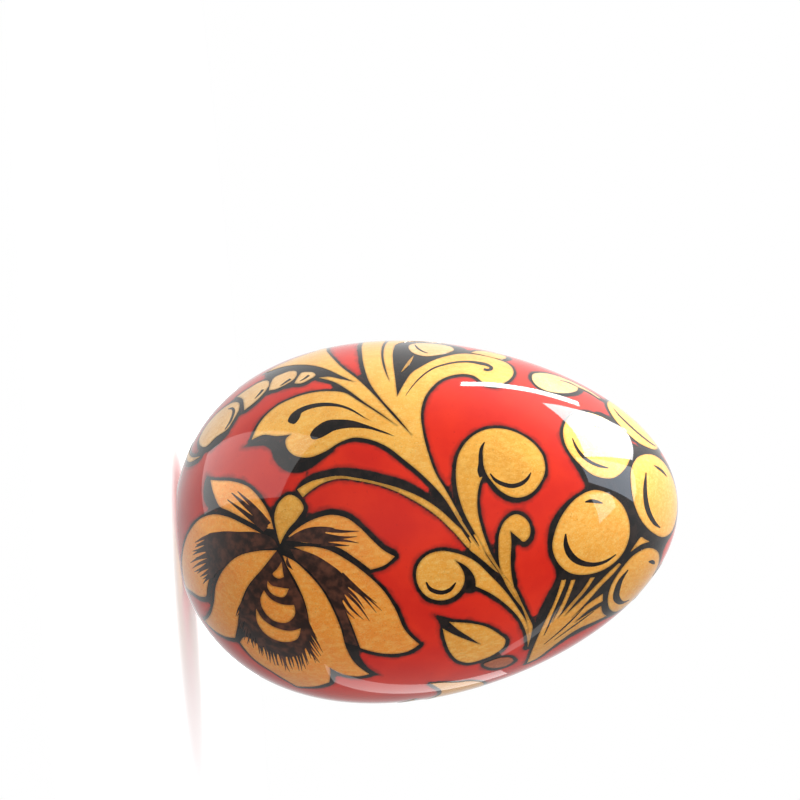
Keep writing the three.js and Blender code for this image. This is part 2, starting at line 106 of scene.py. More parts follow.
# ---- gold outlines: (x, y) on a smooth stretch, (x, y, 1) at a corner ------------------------
GOLD = {
    "petal_upper_left": [
        (-23.8, 6.15, 1), (-22.6, 5.95), (-21, 5.72), (-19, 4.9), (-17.6, 3.3), (-16.75, 1.6),
        (-16.45, 0.1, 1), (-17.6, 0.4), (-19.3, 1.35), (-21.2, 2.45), (-22.3, 3), (-23.1, 4.3),
    ],
    "petal_left": [
        (-17.6, -0.35, 1), (-19.3, 0.72), (-21.3, 1.78), (-23.1, 2.22), (-25, 1.95), (-27.2, 0.6),
        (-29.2, -1.6), (-30.6, -4), (-31.2, -6.4, 1), (-29.2, -6.75), (-27.4, -7.2), (-26.2, -7.05),
        (-25.5, -5.9), (-24.6, -4.6), (-23, -3.2), (-20.8, -1.9), (-18.6, -1.3),
    ],
    "petal_lower_left": [
        (-16.3, -2.2, 1), (-18.6, -2.12), (-20.5, -2.5), (-22.4, -3.75), (-24, -5.6), (-25.2, -7.9),
        (-26.4, -9.3), (-29, -10.8, 1), (-27.4, -12), (-25.4, -12.6), (-24, -12.55, 1), (-22.7, -10.6),
        (-21.5, -8.1), (-20, -5.9), (-18.1, -4.1),
    ],
    "petal_bottom": [
        (-15.75, -2.8, 1), (-14.7, -3.5), (-13.5, -4.95), (-12.3, -7), (-11.5, -9.5), (-11.05, -12.2),
        (-10.95, -15.2), (-10.5, -17.6), (-9.15, -20.2, 1), (-10.4, -20.35), (-12.2, -19.65),
        (-13.6, -18, 1), (-13.95, -19.3), (-14.6, -20.9, 1), (-16.8, -21.7), (-19.6, -21.8, 1),
        (-21.2, -18.6), (-22.9, -15.9), (-23.55, -13.2, 1), (-22.3, -12.3), (-20.9, -13.6), (-19, -15),
        (-16.8, -15.2), (-15.1, -13.8), (-14.35, -11.2), (-14.25, -8.4), (-14.8, -5.8), (-15.5, -3.9),
    ],
    "petal_right": [
        (-14.5, -2, 1), (-12.8, -2.1), (-11.2, -2.6), (-9.4, -3.85), (-7.4, -5.8), (-5.6, -8.2),
        (-4.5, -10.8), (-3.75, -13.6), (-2.9, -15.2), (-2.1, -16.3, 1), (-3.6, -17.15), (-5.8, -17.15),
        (-7.6, -16.5), (-9.35, -15.4, 1), (-9.6, -13), (-9.95, -10.8), (-10.6, -8.3, 1), (-9.9, -7),
        (-10.6, -5.4), (-11.9, -3.8), (-13.2, -2.75),
    ],
    "petal_upper_right": [
        (-15, -0.8, 1), (-13.5, 0.3), (-12, 0.95), (-10.4, 1.2), (-8.9, 0.75), (-7.6, -0.4), (-6.3, -2),
        (-5.1, -3.35), (-3.95, -4.15, 1), (-5, -4.95), (-6.8, -5.4, 1), (-8.2, -4), (-10, -2.5),
        (-12, -1.85), (-13.8, -1.5),
    ],
    "calyx": [
        (-15.9, -1.55, 1), (-16.15, -0.2), (-16.2, 1.9), (-15.7, 3), (-14.6, 3.72), (-13.8, 3.3),
        (-13.25, 2.2), (-13.9, 1.1), (-15, -0.1),
    ],
    "pistil_bud": [(-15.95, -3.5, 1), (-16.5, -4.2), (-17.05, -4.75), (-16.5, -5.3), (-15.95, -5.15, 1)],
    "pistil_top": [
        (-17.7, -5.45, 1), (-17.85, -6.2), (-17.4, -7.05), (-16.4, -7.45), (-15.65, -6.55, 1),
        (-16.7, -6.25), (-17.35, -6),
    ],
    "pistil_upper": [
        (-18.3, -6.5, 1), (-18.9, -7.5), (-18.85, -8.9), (-17.9, -10.3), (-16.8, -10.6), (-15.6, -9.7),
        (-15.45, -8.5, 1), (-16.5, -8.35), (-17.7, -7.6),
    ],
    "pistil_lower": [
        (-19.65, -8.6, 1), (-20, -10.4), (-19.3, -12.2), (-17.8, -13.15), (-16.2, -12.95),
        (-15.35, -11.5, 1), (-16.5, -11.7), (-18.1, -11.1), (-19.2, -10),
    ],
    "flower_stem": [
        (-13.85, 4.25, 1), (-12.6, 5), (-11.2, 5.38), (-9.5, 5.58), (-7.6, 5.25), (-5, 4.55), (-2.4, 3.6),
        (0.8, 1.75), (3.4, -0.8), (5.2, -3.2), (5.2, -4), (3.3, -1.95), (1.4, 0.15), (-1.5, 2.4),
        (-4.3, 3.95), (-7.6, 4.95), (-9.4, 5.25), (-11, 4.9), (-12.4, 4.1), (-13.3, 3.35, 1),
    ],
    "branch_curl": [
        (13.5, -20, 1), (13.6, -17.2), (13.55, -15.9), (12.9, -14.5), (11.8, -12.2), (10.6, -9.6),
        (8.9, -7.2), (8, -5.6), (7.3, -3.8), (6.7, -1.6), (6.4, 0.7), (6.6, 2.6), (7, 3.9), (7.35, 4.6),
        (7.15, 5.8), (7.5, 7.6), (7.9, 8.6, 1), (7.75, 7.4), (7.7, 6), (8, 4.8), (8.6, 3.8), (9.7, 2.5),
        (11.3, 1.72), (13, 2), (14.4, 3.2), (15.25, 4.7), (15.3, 6.7), (14.5, 8.4), (13.1, 9.8),
        (11.2, 10.75), (9.3, 10.95), (7.4, 10.4), (5.7, 9.1), (4.6, 7.4), (4.1, 5.2), (4.15, 2.8),
        (4.7, 0.4), (5.7, -1.9), (7.2, -5), (8.6, -7.3), (10, -9.8), (11.8, -12.8), (12.6, -15),
        (13.1, -17.4),
    ],
    "branch_heart": [
        (4.7, -2.9, 1), (5.8, -2.4), (7.2, -5.2), (8.7, -7.6, 1), (7.9, -6.95), (6.95, -6), (6, -5.1),
        (5, -4.1),
    ],
    "curl_small": [
        (11.95, -12.9, 1), (10.5, -10.9), (9.3, -8.6), (8.75, -6.4), (8.7, -4.2), (8.95, -2.4), (9.8, -0.95),
        (11.2, -0.33), (12.4, -1.1), (12.8, -2.5), (12.5, -3.4), (11.9, -3.8), (11.3, -3.3),
        (10.3, -2.35, 1), (10.35, -3.8), (10.2, -5.4), (10.2, -7.2), (10.55, -9.4), (11.3, -11.4),
    ],
    "curl_round": [
        (13.45, -19.6, 1), (12.6, -16.6), (11.4, -14.2), (9.6, -12), (7.5, -10.15), (5.6, -9, 1),
        (5.55, -7.9), (5, -6.8), (4.2, -6), (3.2, -5.4, 1), (3.9, -6.4), (4.25, -7.6), (3.8, -9.1),
        (2.6, -10.1), (1.2, -10.35), (-0.3, -9.8), (-1.3, -8.6), (-1.7, -7.1), (-1.35, -5.5), (-0.2, -4.4),
        (1.4, -4.05), (3.4, -4.5), (5.5, -5.6), (7.5, -7.7), (9.4, -10), (11.3, -12.9), (12.7, -15.4),
        (13.3, -17.6),
    ],
    "leaf_notched": [
        (1.1, -14.4, 1), (1.35, -16.4), (1.95, -18.6), (2.9, -20.3), (4.5, -21.35), (6.6, -21.15),
        (8.4, -20.4), (9.7, -19.1), (9.85, -17.9), (8.8, -16.6), (7, -15.1), (5, -14.25), (3.4, -13.85),
        (2, -13.55, 1), (3.1, -14.9), (4.6, -16.35), (6.15, -17.95, 1), (4.2, -16.75), (2.4, -15.5),
    ],
    "leaflet": [
        (6.95, -22.4), (8.2, -21.75), (9.8, -21.5), (11.3, -22), (11.8, -22.9), (11, -23.85), (9.4, -24.1),
        (7.8, -23.4),
    ],
    "leaf_spray": [
        (-19.1, 10.45, 1), (-18.75, 12), (-18, 13.6), (-16.9, 14.9), (-15.2, 16), (-13, 16.8), (-10.9, 17),
        (-9.2, 16.75), (-7.4, 15.45), (-5.2, 13.75), (-2.8, 11.85, 1), (-4.4, 13.35), (-6.6, 15.2),
        (-8.6, 17.1), (-10.5, 18.6), (-12.6, 19.5, 1), (-11.4, 19.65), (-9.9, 19.2), (-8.05, 18.65, 1),
        (-9.5, 19.6), (-11.6, 21.1), (-13.6, 22.2), (-16, 22.95), (-18.8, 23.2), (-21.2, 22.6, 1),
        (-20.4, 24.1), (-18.4, 26), (-16.4, 27.6), (-15.6, 29.4), (-16.4, 31.6, 1), (-14.4, 29.6),
        (-13.2, 26.8), (-11.8, 24.4), (-9.9, 21.6), (-7.6, 19.1), (-5, 15.8), (-3, 13), (-1, 10.5, 1),
        (-2.6, 13), (-4.4, 15.5), (-6, 18.4), (-7, 21.9), (-7.7, 25.6), (-8.3, 29.4), (-8.5, 33),
        (-7.6, 36.4), (-5.4, 39.2, 1), (-5.1, 36), (-4.75, 32), (-4.9, 28), (-4.75, 24.6), (-4.2, 21.2),
        (-3.5, 18.9, 1), (-4, 21.4), (-4.45, 24.6), (-4.5, 28), (-4.2, 31.6), (-3, 35.6), (-1, 38.6),
        (0.4, 40.8), (0.5, 42.6), (-0.6, 44.3), (-2.2, 45.7, 1), (1.4, 45.2), (5, 44), (8.6, 42.4),
        (10.4, 39.8), (9.6, 36.8), (6.6, 34.4), (2.6, 33), (-0.8, 31.8), (-2.6, 29.6), (-3.05, 26.6),
        (-3, 23), (-2.75, 19.8), (-2.5, 16.2, 1), (-1.5, 18.5), (-0.4, 20.6), (1.2, 22.2), (3.2, 23.9),
        (5.6, 25.35), (8.2, 26.4), (11, 26.2), (13.4, 25.2), (14.9, 23.8), (15.2, 22.2), (14.6, 20.3),
        (13.3, 18.95), (11.6, 18.1), (10.2, 18.25), (9.4, 18.95, 1), (8.5, 20.1), (7, 20.5), (5.3, 20.15),
        (3.6, 19.25), (2.2, 17.8), (1, 15.8), (0.4, 13.4), (0.45, 11), (0.9, 8), (1.6, 5.4), (2.6, 3.4),
        (4.6, -0.9), (6.6, -4.7, 1), (4.2, -1), (2.2, 2.6), (0.1, 5.15), (-2, 7.2), (-4.2, 9.1), (-6.2, 10),
        (-7.8, 10.2), (-9.3, 9.65), (-11, 8.5), (-12.8, 7.88), (-14.2, 8.2), (-15.15, 9.4), (-15.2, 10.3),
        (-14.75, 10.8, 1), (-16.2, 10.7), (-17.9, 10.95),
    ],
    "scroll_lobe": [
        (9.6, 26.9, 1), (11.2, 28.4), (13.3, 29), (15.3, 28.4), (16.1, 27.1), (15.4, 25.8), (14.4, 25.25),
        (12.6, 25.85), (11, 26.6),
    ],
    "berry_top": [
        (-0.67, 27.6), (-0.4, 29.3), (0.8, 30.5), (2.9, 31), (5.2, 30.6), (6.7, 29.4), (6.9, 27.9),
        (5.6, 26.4), (3.6, 25.3), (1.8, 24.85), (0.2, 25.6),
    ],
    "spray_accent": [(-1.9, 20.6, 1), (-0.75, 23.4), (0.05, 24.9, 1), (-0.35, 23.2)],
    "berry_1": [
        (18.4, 8.4), (18.7, 10.2), (20, 11.9), (22, 12.7), (24.2, 12.1), (25.9, 10.5), (26.7, 8.4),
        (26.4, 6.2), (25.2, 4.4), (23.3, 3.2), (21.3, 3.6), (19.6, 5.3),
    ],
    "berry_2": [
        (20.9, 1.9), (19, 1.3), (17.2, -0.3), (15.9, -2.6), (15.45, -4.8), (16.3, -7), (17.9, -8.35),
        (20, -8.7), (22.3, -8.1), (24.1, -6.5), (24.9, -4.2), (24.7, -1.8), (23.7, 0.3), (22.4, 1.4),
    ],
    "berry_3": [
        (28.9, 6.05), (27.2, 5.6), (25.9, 4.2), (25.4, 1.9), (25.6, -0.4), (26.6, -2.5), (28.3, -4),
        (30.2, -4.7), (32, -4.2), (33.2, -2.3), (33.7, 0.3), (33.1, 3), (31.7, 5.1), (30.4, 5.85),
    ],
    "berry_4": [
        (27.7, -5.9), (25.9, -6.6), (24.5, -8.4), (23.65, -10.6), (23.9, -13), (25.2, -14.9), (27.2, -15.9),
        (29.2, -15.4), (30.8, -13.6), (31.5, -11), (31, -8.2), (29.6, -6.5),
    ],
    "berry_5": [
        (31.2, 15.8), (28.8, 15.5), (27.1, 14), (26.55, 11.9), (27.1, 9.6), (28.7, 7.5), (31, 6.8),
        (33.4, 7.8), (35, 10), (35.2, 12.8), (33.6, 15),
    ],
    "berry_comma": [
        (17.3, 19.2), (18, 20.7), (19.6, 21.35), (21.4, 21.35), (23.5, 20.6), (25.2, 19.1), (26.6, 17.2),
        (27.25, 15.7, 1), (26.7, 15.7, 1), (25.9, 17), (24.6, 18.15, 1), (23.7, 17.1), (22, 16.45),
        (20, 16.4), (18.4, 16.9), (17.5, 17.9),
    ],
    "wedge_leaf": [
        (25.35, -6.1, 1), (25.9, -5.1), (26.6, -4.35), (27, -4.6), (27.85, -5.05, 1), (26.7, -5.3),
    ],
    "berry_stalks": [
        (14.6, -24.6, 1), (14.45, -21), (14.75, -17.8), (15.4, -14.8), (16.2, -12), (16.75, -9.2, 1),
        (17.35, -9.2, 1), (17, -11.4), (16.6, -13.8), (16.3, -15.6, 1), (17, -13.4), (17.6, -11.2),
        (18, -9.3, 1), (18.55, -9.3, 1), (18.1, -11.4), (17.6, -13.4), (17.1, -15, 1), (18.6, -12.6),
        (19.7, -10.9), (20.5, -9.2, 1), (21.05, -9.2, 1), (20.2, -11), (19.1, -12.7), (18, -14.7, 1),
        (19.9, -12.4), (21.6, -10.2), (22.9, -8.6), (24, -7.5, 1), (24.3, -7.7, 1), (23.5, -8.9),
        (22.2, -10.5), (21, -12.4), (19.2, -15.2, 1), (21.2, -13), (22.75, -11.8, 1), (23.1, -13, 1),
        (21.4, -14.2), (19.9, -16.2, 1), (21.5, -15), (23.2, -13.9, 1), (24, -15.2), (25.3, -16.2, 1),
        (23, -17), (21, -17.8), (19.2, -19.4), (17.6, -21.5), (16, -23.8),
    ],
    "feather_low": [
        (-27.95, 12.2), (-27.2, 11.25), (-25.7, 10.6), (-24.2, 11.6), (-22.75, 12.4), (-22.2, 13.8),
        (-22, 15.2), (-22.5, 16.4), (-23.6, 16.85), (-25.2, 16.4), (-26.9, 15.1), (-27.9, 13.6),
    ],
    "feather_middle": [
        (-21.1, 14.85, 1), (-19.9, 16.1), (-19.1, 17.9), (-19.1, 19.2), (-19.7, 20), (-20.9, 20),
        (-22.2, 19.1), (-23.6, 17.85, 1), (-22.2, 17), (-21.5, 15.8),
    ],
    "feather_high": [
        (-18.65, 17.75, 1), (-18.9, 19.2), (-18.8, 20.5), (-17.9, 21.1), (-16.9, 21.5), (-16.1, 21.3),
        (-15.7, 20.4), (-15.9, 19.4), (-16.7, 18.5), (-17.7, 17.85),
    ],
    "feather_tip": [
        (-15.55, 18.65, 1), (-15.4, 19.8), (-15.1, 20.8), (-14.2, 20.85), (-13.6, 20.7), (-13.15, 20.1),
        (-13.8, 19.2), (-14.7, 18.55),
    ],
    "feather_stem": [
        (-26.3, 9.45, 1), (-28.2, 9.75), (-30.2, 11), (-31.6, 13), (-32, 12.6), (-30.6, 10.3), (-28.6, 9.2),
    ],
}

# ---- black painted on the red ground: filled outlines, and brush lines as (x, y, width) -----
GROUND_INK = {
    "flower_gap": [
        (-15.6, -2.2, 1), (-14.7, -3.4), (-13.5, -4.95), (-12.3, -7), (-11.5, -9.5), (-11.05, -12.2),
        (-10.95, -15.2), (-10.5, -17.6), (-9.3, -20.2), (-7.6, -20.9, 1), (-8.6, -19.7), (-9.4, -17.8),
        (-9.7, -15.5), (-9.5, -13), (-9.9, -10.8), (-10.5, -8.3), (-9.8, -7), (-10.5, -5.3), (-11.9, -3.7),
        (-13.2, -2.7), (-14.5, -1.9),
    ],
    "flower_heart": [
        (-18.6, -0.2), (-17, 0.6), (-16.5, 1.6), (-15.6, 0.6), (-14.6, -0.4), (-13.6, -1.7), (-14.6, -3),
        (-15.6, -4.2), (-17, -3.2), (-18.4, -2.2), (-19.4, -1.2),
    ],
    "column_ground": [
        (-16.2, -2.2, 1), (-18, -4.2), (-20, -6), (-21.5, -8.2), (-22.8, -10.8), (-23.4, -12.9),
        (-22, -13.6), (-20, -14.8), (-18, -15.4), (-16, -14.8), (-14.8, -13), (-14.2, -10), (-14.6, -6.4),
        (-15.4, -4),
    ],
    "petal_tip_margin": [
        (-24.5, 6.9, 1), (-23.6, 6.3), (-23.1, 4.6), (-22.2, 3.1), (-23.4, 2.7), (-24.5, 3.7), (-24.8, 5.2),
    ],
    "spray_fork": [
        (-2.45, 15.6, 1), (-1.5, 18.3), (-0.4, 20.4), (1.2, 22), (3.2, 23.7), (5.6, 25.1), (8.2, 26.2),
        (9.3, 27.6), (8.7, 29.8), (6.5, 31.8), (2.6, 33.2), (-0.8, 32), (-2.8, 29.6), (-3.2, 26.6),
        (-3.1, 23), (-2.9, 19.8),
    ],
    "leaf_wedge": [
        (-2.6, 11.7, 1), (-5.2, 13.6), (-7.4, 15.3), (-9.2, 16.6), (-10.4, 17.3), (-10.8, 18, 1),
        (-11.2, 18.9), (-10.5, 18.8), (-8.6, 17.3), (-6.6, 15.4), (-4.4, 13.5),
    ],
    "feather_ground": [
        (-8.2, 18.8, 1), (-9.5, 19.8), (-11.6, 21.3), (-13.6, 22.4), (-16, 23.1), (-18.8, 23.3), (-21, 22.6),
        (-20.8, 21.4), (-19.8, 20.4), (-18.6, 18), (-16.8, 17.7), (-14.8, 18.2), (-13.4, 18.8),
        (-12.4, 19.3), (-11, 19.5), (-9.5, 19.1),
    ],
    "berry_ground": [
        (18.6, 6.4), (19.4, 4), (19.8, 2.2), (17.6, 0.9), (15.3, -1.8), (14.9, -5.4), (16, -8.6),
        (14.9, -11.4), (13.9, -14.6), (13.7, -18), (14, -21.4), (14.5, -25.2, 1), (17, -22.9), (19.2, -20.6),
        (21.4, -18.9), (24.6, -17.3), (27.6, -16.5), (30.4, -15), (31.8, -12), (31.6, -8.6), (31.2, -6.2),
        (31.6, -5.3), (33.6, -3.4), (34.3, 0), (33.6, 4.6), (30.8, 6.9), (27.6, 7.4), (26.7, 11.2),
        (24.4, 12.8), (22.6, 9),
    ],
    "leaf_spike": [
        (-0.1, -12, 1), (1.6, -12.75), (3.4, -13.5), (5.2, -14), (2, -13.9), (1, -15), (0.7, -13.6),
    ],
    "round_curl_notch": [
        (3, -5, 1), (4.3, -5.8), (5.3, -6.6), (6.2, -7.4), (6.2, -9.2), (5, -9.9), (3.9, -9.5), (3.9, -7.6),
        (3.7, -6.4),
    ],
    "stem_wedge": [(0.5, 3.8, 1), (1.3, 3.5), (2.5, 1.9), (3.5, 0.1, 1), (2.3, 1), (1.1, 2.4)],
    "small_curl_notch": [(10.2, -2.1, 1), (10.7, -3.3), (11.4, -3.6), (10.7, -4.6), (10.3, -5.4), (10, -4)],
}
GROUND_LINES = {
    "stem_band": [
        (-13.7, 4.6, 0.5), (-12.6, 5.35, 0.8), (-11, 5.8, 1), (-9.4, 6, 1.1), (-7.4, 5.75, 1.2),
        (-5, 5.1, 1.2), (-2.2, 4.1, 1.2), (0.6, 2.35, 0.8), (2.4, 0.65, 0.6), (3.6, -0.75, 0.5),
        (4.6, -2.2, 0.4),
    ],
    "leaf_hook": [
        (-20, 9.6, 0.15), (-18.9, 9.9, 0.6), (-17.4, 9.9, 0.8), (-16.2, 9.3, 1.4), (-15.7, 8, 1.3),
        (-14.8, 7.1, 1.4), (-13.6, 6.8, 1.4), (-12.6, 7.1, 1.1), (-11.3, 7.9, 0.7), (-10, 8.8, 0.5),
    ],
    "stem_seam": [
        (3.9, 0.5, 0.3), (5, -1.5, 0.5), (6.3, -4, 0.6), (7.8, -6.6, 0.6), (9.6, -9.6, 0.5), (11, -12, 0.3),
    ],
    "feather_shade": [(-26.8, 10.5, 0.5), (-25.3, 10.2, 0.9), (-23.7, 10.9, 0.9), (-22.5, 12.1, 0.7)],
    "fan_shade": [
        (15, -24.4, 0.2), (16.8, -22.7, 0.8), (18.6, -20.7, 1), (20.6, -18.8, 1), (23, -17.6, 0.9),
        (25.4, -16.8, 0.6),
    ],
    "leaflet_edge": [(7.2, -22.9, 0.3), (8.6, -24, 0.5), (10.4, -24.3, 0.5), (11.9, -23.4, 0.4)],
}

# ---- black brushed over the gold ------------------------------------------------------------
FLOWER_INK = {
    "base_left": [
        (-16.1, -1.9, 1), (-16.6, -0.9), (-18.2, -0.1), (-20.2, 0.12), (-22.4, 0.28), (-24.3, -0.05),
        (-24.8, -1.2), (-24.6, -2.4), (-24.6, -3.6), (-24.3, -4.8, 1), (-23.4, -4.1), (-22.2, -3.5),
        (-20.5, -2.4), (-18.6, -2.05),
    ],
    "base_right": [
        (-15.3, -1.2, 1), (-14.2, -0.5), (-13, -0.05), (-11.6, 0), (-10.1, -0.3, 1), (-11.1, -0.6),
        (-11.4, -1.3), (-11.1, -2.1, 1), (-12, -1.9), (-13.8, -1.5),
    ],
    "column": [
        (-16.3, -2.2, 1), (-17.2, -3.3), (-18.2, -4.3), (-19.3, -5.3), (-20.3, -6.5), (-21.1, -8),
        (-21.4, -9.6), (-21.2, -11.4), (-20.5, -13.2), (-19.4, -14.7), (-18, -15.5), (-16.6, -15.3),
        (-15.4, -14), (-14.7, -12.2), (-14.35, -10.2), (-14.35, -8.4), (-14.9, -6.3), (-15.4, -4.6),
        (-15.8, -3.4),
    ],
    "fork": [(-15.3, -2.9, 1), (-15.2, -3.6), (-14.9, -4.5, 1), (-15.5, -3.8)],
    "wedge_right": [
        (-14.9, -2.2, 1), (-14.2, -2.3), (-12.6, -3), (-11.2, -4.1), (-9.8, -5.7), (-9.4, -6.9),
        (-9.9, -7.9), (-10.4, -9, 1), (-10.1, -10.8), (-9.8, -13), (-9.6, -15, 1), (-10.7, -14.4),
        (-10.8, -12.1), (-11.3, -9.4), (-12.1, -6.9), (-13.3, -4.8), (-14.5, -3.3),
    ],
}
# fringes of fine brush hairs: where they start, where they end, how many and how wide
FLOWER_HAIRS = {
    "column": (
        [
            (-20.9, -7.6), (-21.3, -9.4), (-21.1, -11.2), (-20.4, -13), (-19.4, -14.4), (-18, -15.1),
            (-16.7, -14.9), (-15.6, -13.7), (-14.9, -12), (-14.5, -10),
        ],
        [
            (-22.8, -9.8), (-22.9, -12), (-22, -14.4), (-20.9, -16.4), (-19.6, -18.3), (-18.1, -18.7),
            (-16.6, -17.9), (-15, -17.3), (-14, -16.2), (-13.7, -13.9),
        ],
        44, 0.34,
    ),
    "left": (
        [(-23.9, -0.1), (-24.3, -1.2), (-24.3, -2.4), (-24.2, -3.5), (-24.1, -4.5)],
        [(-26.6, -0.8), (-27.6, -1.9), (-27.9, -3.2), (-27.3, -4.5), (-26.2, -5.6)],
        13, 0.5,
    ),
    "right": (
        [(-11.4, -0.2), (-11.6, -0.8), (-11.8, -1.4), (-11.7, -2)],
        [(-7.2, -0.8), (-7.6, -1.5), (-7.7, -2.1), (-7.7, -2.7)],
        5, 0.55,
    ),
    "wedge": (
        [(-10, -5.4), (-9.9, -6.6), (-10.2, -7.7), (-10.7, -8.5)],
        [(-4.9, -11.5), (-6.5, -11.8), (-7.8, -12), (-9, -11.9)],
        7, 0.45,
    ),
}
FLOWER_LINES = {
    "upper_a": [(-20.9, 4.4, 0.06), (-19.7, 3.3, 0.3), (-18.3, 1.9, 0.45), (-17.1, 0.5, 0.6)],
    "upper_b": [(-20.2, 4.5, 0.06), (-19, 3.3, 0.28), (-17.9, 2, 0.42), (-17, 0.6, 0.6)],
    "upper_c": [(-21.4, 3.7, 0.06), (-20, 2.6, 0.25), (-18.7, 1.5, 0.42), (-17.2, 0.2, 0.6)],
}
SPRAY_INK = {
    "slit_upper": [
        (-15.2, 12.5), (-15.1, 13.35), (-14.4, 14.2), (-13.3, 14.8), (-12, 15.1), (-10.7, 15.1),
        (-9.4, 14.8), (-8.3, 14.3), (-7.2, 13.5), (-6.2, 12.7), (-5.6, 12.35, 1), (-6.8, 13), (-8, 13.8),
        (-9.3, 14.4), (-10.7, 14.6), (-12, 14.5), (-13, 14.2), (-13.8, 13.7), (-14, 12.9), (-14.5, 12.2),
    ],
    "slit_lower": [
        (-12.6, 10.5), (-12.4, 11.2), (-11.8, 11.9), (-10.9, 12.5), (-9.4, 12.65), (-8, 12.5), (-6.5, 11.95),
        (-5.1, 11.35), (-3.9, 10.8), (-3.05, 10.3, 1), (-4.6, 10.85), (-5.9, 11.3), (-7.5, 11.5),
        (-8.8, 11.45), (-10.1, 11.1), (-11, 10.5), (-11.7, 10.15), (-12.3, 10.1),
    ],
}
SPRAY_LINES = {
    "scroll_vein": [
        (-1.4, 16.3, 0.05), (-0.6, 17.7, 0.1), (0.5, 19.3, 0.16), (1.8, 20.8, 0.2), (3.1, 21.9, 0.24),
        (4.65, 22.7, 0.28), (6.2, 23.3, 0.32), (7.7, 23.6, 0.38), (9, 23.6, 0.5), (10.2, 23.3, 0.7),
        (11.2, 22.9, 0.65), (11.7, 22.3, 0.5), (11.5, 21.7, 0.45), (10.9, 21.5, 0.5), (10.4, 21.7, 0.5),
    ],
    "feather_low": [
        (-24, 15.8, 0.1), (-23.3, 15.7, 0.25), (-22.8, 15.2, 0.3), (-22.6, 14.3, 0.3), (-22.7, 13.3, 0.25),
        (-23.1, 12.4, 0.1),
    ],
    "feather_middle": [(-19.6, 18.1, 0.3), (-19.8, 17.4, 0.25), (-20.2, 16.6, 0.08)],
    "feather_high": [(-16.3, 19.6, 0.3), (-16.8, 19, 0.25), (-17.3, 18.4, 0.08)],
    "feather_tip": [(-14, 20.1, 0.28), (-14.4, 19.5, 0.22), (-14.9, 19, 0.08)],
    "berry_top_a": [
        (0.4, 29.5, 0.1), (0.6, 28.4, 0.25), (0.96, 27.3, 0.3), (1.6, 26.4, 0.25), (2.3, 25.9, 0.1),
    ],
}
BRANCH_LINES = {
    "large_vein": [
        (8.2, 9.1, 0.1), (7.75, 8.4, 0.3), (7.45, 7.4, 0.35), (7.3, 6.3, 0.35), (7.1, 5.4, 0.4),
        (7.25, 4.6, 0.4),
    ],
    "large_crescent": [
        (8.4, 4.95, 0.1), (8.9, 4.15, 0.3), (9.9, 3.5, 0.4), (11, 3.2, 0.42), (12.1, 3.4, 0.4),
        (12.9, 3.9, 0.3), (13.5, 4.7, 0.1),
    ],
    "round_crescent": [
        (-0.55, -7.7, 0.12), (-0.15, -8.6, 0.35), (0.7, -9.15, 0.42), (1.5, -9.3, 0.42), (2.3, -9.05, 0.38),
        (3.1, -8.2, 0.12),
    ],
    "stem_gap_left": [(4, -1, 0.1), (4.7, -2.3, 0.2), (5.3, -3.4, 0.06)],
    "stem_gap_right": [(4.4, -0.5, 0.1), (5, -1.5, 0.2), (5.7, -2.8, 0.16), (6.3, -3.9, 0.05)],
}
BERRY_LINES = {
    "crescent_1": [
        (19.5, 8.8, 0.1), (19.7, 7.45, 0.26), (20.2, 6.3, 0.32), (21.1, 5.35, 0.32), (22.1, 4.8, 0.26),
        (23, 4.5, 0.1),
    ],
    "mark_1": [(22.7, 10.5, 0.08), (23.4, 10.3, 0.3), (24, 9.9, 0.26), (24.3, 9.5, 0.08)],
    "crescent_2": [
        (17.1, -3.2, 0.12), (17.1, -4.5, 0.45), (17.5, -5.6, 0.6), (18.35, -6.6, 0.6), (19.65, -7.25, 0.5),
        (20.9, -7.4, 0.4), (22.2, -7.1, 0.3), (23.4, -6.3, 0.1),
    ],
    "mark_2": [(19.6, 0.5, 0.08), (20.2, 0.6, 0.32), (21, 0.45, 0.3), (21.7, 0.2, 0.08)],
    "crescent_3": [
        (27.8, 3.6, 0.1), (27.3, 2.1, 0.34), (27.1, 0.7, 0.45), (27.2, -0.6, 0.5), (27.7, -1.9, 0.45),
        (28.4, -2.8, 0.35), (29.3, -3.4, 0.1),
    ],
    "mark_3": [(29.4, 4.5, 0.08), (30.1, 4.1, 0.3), (30.8, 3.6, 0.3), (31.4, 3, 0.08)],
    "crescent_4": [
        (25.5, -8.6, 0.12), (24.85, -9.9, 0.5), (24.75, -11.3, 0.7), (25.1, -12.6, 0.75),
        (25.9, -13.5, 0.65), (27, -14.1, 0.45), (28.4, -14, 0.12),
    ],
    "mark_4": [(28.5, -7.8, 0.08), (29.1, -7.9, 0.35), (29.6, -8.1, 0.35), (30, -8.4, 0.08)],
    "crescent_5": [
        (28, 13.6, 0.1), (27.95, 12.3, 0.3), (28.35, 11, 0.35), (29, 9.7, 0.35), (30, 8.5, 0.3),
        (31.1, 7.7, 0.25), (32, 7.4, 0.1),
    ],
    "comma": [(22.1, 19.5, 0.08), (23, 19.3, 0.22), (23.8, 18.9, 0.28), (24.5, 18.1, 0.1)],
    "stalk_a": [(17.6, -9.2, 0.2), (16.9, -11.8, 0.3), (16.2, -14.6, 0.25), (15.6, -18, 0.08)],
    "stalk_b": [(20.5, -13.7, 0.08), (19.2, -15.8, 0.2), (17.8, -17.8, 0.2), (16.1, -20, 0.06)],
    "stalk_c": [(22.3, -14.6, 0.08), (20.8, -16.1, 0.2), (19.3, -17.6, 0.2), (17.6, -19.4, 0.06)],
}
